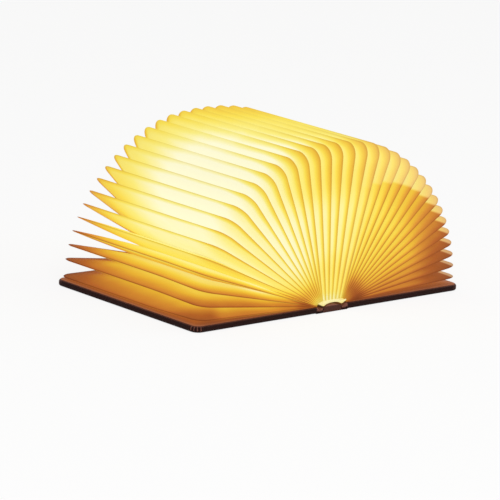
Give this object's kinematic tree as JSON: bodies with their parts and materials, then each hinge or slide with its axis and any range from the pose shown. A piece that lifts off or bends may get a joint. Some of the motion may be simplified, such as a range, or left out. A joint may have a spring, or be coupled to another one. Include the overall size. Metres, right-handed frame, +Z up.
{
  "type": "folding book lamp",
  "caption": "Cordless lamp shaped like a hardback book: opened flat, it fans out a glowing shade of pleated paper between leather covers.",
  "frame": {"origin": "centre of the lamp's footprint, on the surface it lies on, opened flat", "axes": "+X from the left cover to the right cover, +Y along the spine to the end with the charging socket, +Z up"},
  "size_m": [0.36, 0.212, 0.1682],
  "materials": {
    "leather": "satin",
    "board": "matte",
    "cream_cloth": "matte",
    "tray": "matte",
    "steel": "satin",
    "battery_wrap": "gloss",
    "circuit": "satin",
    "lead": "satin",
    "led": "gloss",
    "frosted": "satin",
    "endpaper": "matte",
    "shade_paper": "matte"
  },
  "bodies": {
    "spine": {"spine_leather": "leather", "spine_board": "board", "binding": "cream_cloth", "core_tray": "tray", "tray_screws": "steel", "battery": "battery_wrap", "control_board": "circuit", "power_leads": "lead", "led_board": "circuit", "leds": "led", "diffuser": "frosted", "charge_board": "circuit", "charge_socket": "steel", "leaf_18": "shade_paper"},
    "left_cover": {"left_cover_leather": "leather", "left_cover_board": "board", "left_endpaper": "endpaper", "left_magnets": "steel"},
    "right_cover": {"right_cover_leather": "leather", "right_cover_board": "board", "right_endpaper": "endpaper", "right_magnets": "steel"},
    "leaf_01": {"leaf_01": "shade_paper"},
    "leaf_02": {"leaf_02": "shade_paper"},
    "leaf_03": {"leaf_03": "shade_paper"},
    "leaf_04": {"leaf_04": "shade_paper"},
    "leaf_05": {"leaf_05": "shade_paper"},
    "leaf_06": {"leaf_06": "shade_paper"},
    "leaf_07": {"leaf_07": "shade_paper"},
    "leaf_08": {"leaf_08": "shade_paper"},
    "leaf_09": {"leaf_09": "shade_paper"},
    "leaf_10": {"leaf_10": "shade_paper"},
    "leaf_11": {"leaf_11": "shade_paper"},
    "leaf_12": {"leaf_12": "shade_paper"},
    "leaf_13": {"leaf_13": "shade_paper"},
    "leaf_14": {"leaf_14": "shade_paper"},
    "leaf_15": {"leaf_15": "shade_paper"},
    "leaf_16": {"leaf_16": "shade_paper"},
    "leaf_17": {"leaf_17": "shade_paper"},
    "leaf_19": {"leaf_19": "shade_paper"},
    "leaf_20": {"leaf_20": "shade_paper"},
    "leaf_21": {"leaf_21": "shade_paper"},
    "leaf_22": {"leaf_22": "shade_paper"},
    "leaf_23": {"leaf_23": "shade_paper"},
    "leaf_24": {"leaf_24": "shade_paper"},
    "leaf_25": {"leaf_25": "shade_paper"},
    "leaf_26": {"leaf_26": "shade_paper"},
    "leaf_27": {"leaf_27": "shade_paper"},
    "leaf_28": {"leaf_28": "shade_paper"},
    "leaf_29": {"leaf_29": "shade_paper"},
    "leaf_30": {"leaf_30": "shade_paper"},
    "leaf_31": {"leaf_31": "shade_paper"},
    "leaf_32": {"leaf_32": "shade_paper"},
    "leaf_33": {"leaf_33": "shade_paper"},
    "leaf_34": {"leaf_34": "shade_paper"},
    "leaf_35": {"leaf_35": "shade_paper"}
  },
  "joints": [
    {"name": "left_cover_hinge", "type": "hinge", "parent": "spine", "child": "left_cover", "pos_m": [-0.0132, 0, 0.0006], "axis": [0, 1, 0], "range_deg": [-94, 90], "deforming": ["binding", "leaf_18"]},
    {"name": "right_cover_hinge", "type": "hinge", "parent": "spine", "child": "right_cover", "pos_m": [0.0132, 0, 0.0006], "axis": [0, 1, 0], "range_deg": [-90, 94], "deforming": ["binding"]},
    {"name": "leaf_01_hinge", "type": "hinge", "parent": "spine", "child": "leaf_01", "pos_m": [-0.01261, 0, 0.00112], "axis": [0, 1, 0], "range_deg": [-91.3, 87.4], "deforming": ["leaf_01"]},
    {"name": "leaf_02_hinge", "type": "hinge", "parent": "spine", "child": "leaf_02", "pos_m": [-0.01211, 0, 0.00039], "axis": [0, 1, 0], "range_deg": [-85.9, 82.2], "deforming": ["leaf_02"]},
    {"name": "leaf_03_hinge", "type": "hinge", "parent": "spine", "child": "leaf_03", "pos_m": [-0.01165, 0, -0.00043], "axis": [0, 1, 0], "range_deg": [-80.5, 77], "deforming": ["leaf_03"]},
    {"name": "leaf_04_hinge", "type": "hinge", "parent": "spine", "child": "leaf_04", "pos_m": [-0.01126, 0, -0.00135], "axis": [0, 1, 0], "range_deg": [-75.1, 71.9], "deforming": ["leaf_04"]},
    {"name": "leaf_05_hinge", "type": "hinge", "parent": "spine", "child": "leaf_05", "pos_m": [-0.01094, 0, -0.00236], "axis": [0, 1, 0], "range_deg": [-69.6, 66.7], "deforming": ["leaf_05"]},
    {"name": "leaf_06_hinge", "type": "hinge", "parent": "spine", "child": "leaf_06", "pos_m": [-0.0107, 0, -0.00348], "axis": [0, 1, 0], "range_deg": [-64.2, 61.5], "deforming": ["leaf_06"]},
    {"name": "leaf_07_hinge", "type": "hinge", "parent": "spine", "child": "leaf_07", "pos_m": [-0.01055, 0, -0.00473], "axis": [0, 1, 0], "range_deg": [-58.8, 56.3], "deforming": ["leaf_07"]},
    {"name": "leaf_08_hinge", "type": "hinge", "parent": "spine", "child": "leaf_08", "pos_m": [-0.01051, 0, -0.00614], "axis": [0, 1, 0], "range_deg": [-53.3, 51], "deforming": ["leaf_08"]},
    {"name": "leaf_09_hinge", "type": "hinge", "parent": "spine", "child": "leaf_09", "pos_m": [-0.01059, 0, -0.00776], "axis": [0, 1, 0], "range_deg": [-47.8, 45.7], "deforming": ["leaf_09"]},
    {"name": "leaf_10_hinge", "type": "hinge", "parent": "spine", "child": "leaf_10", "pos_m": [-0.01081, 0, -0.0097], "axis": [0, 1, 0], "range_deg": [-42.2, 40.4], "deforming": ["leaf_10"]},
    {"name": "leaf_11_hinge", "type": "hinge", "parent": "spine", "child": "leaf_11", "pos_m": [-0.01121, 0, -0.01212], "axis": [0, 1, 0], "range_deg": [-36.6, 35], "deforming": ["leaf_11"]},
    {"name": "leaf_12_hinge", "type": "hinge", "parent": "spine", "child": "leaf_12", "pos_m": [-0.01185, 0, -0.01542], "axis": [0, 1, 0], "range_deg": [-30.9, 29.6], "deforming": ["leaf_12"]},
    {"name": "leaf_13_hinge", "type": "hinge", "parent": "spine", "child": "leaf_13", "pos_m": [-0.01287, 0, -0.02025], "axis": [0, 1, 0], "range_deg": [-25.2, 24.1], "deforming": ["leaf_13"]},
    {"name": "leaf_14_hinge", "type": "hinge", "parent": "spine", "child": "leaf_14", "pos_m": [-0.01462, 0, -0.02799], "axis": [0, 1, 0], "range_deg": [-19.4, 18.6], "deforming": ["leaf_14"]},
    {"name": "leaf_15_hinge", "type": "hinge", "parent": "spine", "child": "leaf_15", "pos_m": [-0.01781, 0, -0.04079], "axis": [0, 1, 0], "range_deg": [-13.7, 13.1], "deforming": ["leaf_15"]},
    {"name": "leaf_16_hinge", "type": "hinge", "parent": "spine", "child": "leaf_16", "pos_m": [-0.02187, 0, -0.04117], "axis": [0, 1, 0], "range_deg": [-9.1, 8.7], "deforming": ["leaf_16"]},
    {"name": "leaf_17_hinge", "type": "hinge", "parent": "spine", "child": "leaf_17", "pos_m": [-0.0379, 0, -0.0414], "axis": [0, 1, 0], "range_deg": [-4.6, 4.4], "deforming": ["leaf_17"]},
    {"name": "leaf_19_hinge", "type": "hinge", "parent": "spine", "child": "leaf_19", "pos_m": [0.03481, 0, -0.04188], "axis": [0, 1, 0], "range_deg": [-4.8, 5], "deforming": ["leaf_19"]},
    {"name": "leaf_20_hinge", "type": "hinge", "parent": "spine", "child": "leaf_20", "pos_m": [0.0206, 0, -0.04159], "axis": [0, 1, 0], "range_deg": [-9.6, 10], "deforming": ["leaf_20"]},
    {"name": "leaf_21_hinge", "type": "hinge", "parent": "spine", "child": "leaf_21", "pos_m": [0.01671, 0, -0.03755], "axis": [0, 1, 0], "range_deg": [-14.6, 15.3], "deforming": ["leaf_21"]},
    {"name": "leaf_22_hinge", "type": "hinge", "parent": "spine", "child": "leaf_22", "pos_m": [0.01376, 0, -0.02502], "axis": [0, 1, 0], "range_deg": [-20.6, 21.6], "deforming": ["leaf_22"]},
    {"name": "leaf_23_hinge", "type": "hinge", "parent": "spine", "child": "leaf_23", "pos_m": [0.01225, 0, -0.01822], "axis": [0, 1, 0], "range_deg": [-26.6, 27.7], "deforming": ["leaf_23"]},
    {"name": "leaf_24_hinge", "type": "hinge", "parent": "spine", "child": "leaf_24", "pos_m": [0.01138, 0, -0.01395], "axis": [0, 1, 0], "range_deg": [-32.4, 33.8], "deforming": ["leaf_24"]},
    {"name": "leaf_25_hinge", "type": "hinge", "parent": "spine", "child": "leaf_25", "pos_m": [0.01085, 0, -0.01102], "axis": [0, 1, 0], "range_deg": [-38, 39.7], "deforming": ["leaf_25"]},
    {"name": "leaf_26_hinge", "type": "hinge", "parent": "spine", "child": "leaf_26", "pos_m": [0.01054, 0, -0.00882], "axis": [0, 1, 0], "range_deg": [-43.5, 45.5], "deforming": ["leaf_26"]},
    {"name": "leaf_27_hinge", "type": "hinge", "parent": "spine", "child": "leaf_27", "pos_m": [0.0104, 0, -0.00703], "axis": [0, 1, 0], "range_deg": [-48.9, 51.1], "deforming": ["leaf_27"]},
    {"name": "leaf_28_hinge", "type": "hinge", "parent": "spine", "child": "leaf_28", "pos_m": [0.0104, 0, -0.00552], "axis": [0, 1, 0], "range_deg": [-54.1, 56.5], "deforming": ["leaf_28"]},
    {"name": "leaf_29_hinge", "type": "hinge", "parent": "spine", "child": "leaf_29", "pos_m": [0.01051, 0, -0.00422], "axis": [0, 1, 0], "range_deg": [-59.2, 61.8], "deforming": ["leaf_29"]},
    {"name": "leaf_30_hinge", "type": "hinge", "parent": "spine", "child": "leaf_30", "pos_m": [0.01071, 0, -0.00307], "axis": [0, 1, 0], "range_deg": [-64.1, 67], "deforming": ["leaf_30"]},
    {"name": "leaf_31_hinge", "type": "hinge", "parent": "spine", "child": "leaf_31", "pos_m": [0.01098, 0, -0.00204], "axis": [0, 1, 0], "range_deg": [-68.9, 72], "deforming": ["leaf_31"]},
    {"name": "leaf_32_hinge", "type": "hinge", "parent": "spine", "child": "leaf_32", "pos_m": [0.01132, 0, -0.00112], "axis": [0, 1, 0], "range_deg": [-73.6, 76.9], "deforming": ["leaf_32"]},
    {"name": "leaf_33_hinge", "type": "hinge", "parent": "spine", "child": "leaf_33", "pos_m": [0.01171, 0, -0.00029], "axis": [0, 1, 0], "range_deg": [-78.3, 81.7], "deforming": ["leaf_33"]},
    {"name": "leaf_34_hinge", "type": "hinge", "parent": "spine", "child": "leaf_34", "pos_m": [0.01214, 0, 0.00045], "axis": [0, 1, 0], "range_deg": [-82.8, 86.5], "deforming": ["leaf_34"]},
    {"name": "leaf_35_hinge", "type": "hinge", "parent": "spine", "child": "leaf_35", "pos_m": [0.01261, 0, 0.00112], "axis": [0, 1, 0], "range_deg": [-87.4, 91.3], "deforming": ["leaf_35"]}
  ],
  "couplings": [
    {"joint": "right_cover_hinge", "follows": "left_cover_hinge", "ratio": -1},
    {"joint": "leaf_01_hinge", "follows": "left_cover_hinge", "ratio": 0.97012},
    {"joint": "leaf_02_hinge", "follows": "left_cover_hinge", "ratio": 0.91245},
    {"joint": "leaf_03_hinge", "follows": "left_cover_hinge", "ratio": 0.85492},
    {"joint": "leaf_04_hinge", "follows": "left_cover_hinge", "ratio": 0.79743},
    {"joint": "leaf_05_hinge", "follows": "left_cover_hinge", "ratio": 0.73985},
    {"joint": "leaf_06_hinge", "follows": "left_cover_hinge", "ratio": 0.6821},
    {"joint": "leaf_07_hinge", "follows": "left_cover_hinge", "ratio": 0.62408},
    {"joint": "leaf_08_hinge", "follows": "left_cover_hinge", "ratio": 0.56571},
    {"joint": "leaf_09_hinge", "follows": "left_cover_hinge", "ratio": 0.50694},
    {"joint": "leaf_10_hinge", "follows": "left_cover_hinge", "ratio": 0.44773},
    {"joint": "leaf_11_hinge", "follows": "left_cover_hinge", "ratio": 0.38802},
    {"joint": "leaf_12_hinge", "follows": "left_cover_hinge", "ratio": 0.32765},
    {"joint": "leaf_13_hinge", "follows": "left_cover_hinge", "ratio": 0.26667},
    {"joint": "leaf_14_hinge", "follows": "left_cover_hinge", "ratio": 0.2052},
    {"joint": "leaf_15_hinge", "follows": "left_cover_hinge", "ratio": 0.14448},
    {"joint": "leaf_16_hinge", "follows": "left_cover_hinge", "ratio": 0.09594},
    {"joint": "leaf_17_hinge", "follows": "left_cover_hinge", "ratio": 0.04785},
    {"joint": "leaf_19_hinge", "follows": "left_cover_hinge", "ratio": -0.05263},
    {"joint": "leaf_20_hinge", "follows": "left_cover_hinge", "ratio": -0.10545},
    {"joint": "leaf_21_hinge", "follows": "left_cover_hinge", "ratio": -0.1613},
    {"joint": "leaf_22_hinge", "follows": "left_cover_hinge", "ratio": -0.22824},
    {"joint": "leaf_23_hinge", "follows": "left_cover_hinge", "ratio": -0.29412},
    {"joint": "leaf_24_hinge", "follows": "left_cover_hinge", "ratio": -0.3586},
    {"joint": "leaf_25_hinge", "follows": "left_cover_hinge", "ratio": -0.42143},
    {"joint": "leaf_26_hinge", "follows": "left_cover_hinge", "ratio": -0.48262},
    {"joint": "leaf_27_hinge", "follows": "left_cover_hinge", "ratio": -0.54219},
    {"joint": "leaf_28_hinge", "follows": "left_cover_hinge", "ratio": -0.60011},
    {"joint": "leaf_29_hinge", "follows": "left_cover_hinge", "ratio": -0.65643},
    {"joint": "leaf_30_hinge", "follows": "left_cover_hinge", "ratio": -0.71123},
    {"joint": "leaf_31_hinge", "follows": "left_cover_hinge", "ratio": -0.76468},
    {"joint": "leaf_32_hinge", "follows": "left_cover_hinge", "ratio": -0.81699},
    {"joint": "leaf_33_hinge", "follows": "left_cover_hinge", "ratio": -0.86845},
    {"joint": "leaf_34_hinge", "follows": "left_cover_hinge", "ratio": -0.91938},
    {"joint": "leaf_35_hinge", "follows": "left_cover_hinge", "ratio": -0.97012}
  ]
}
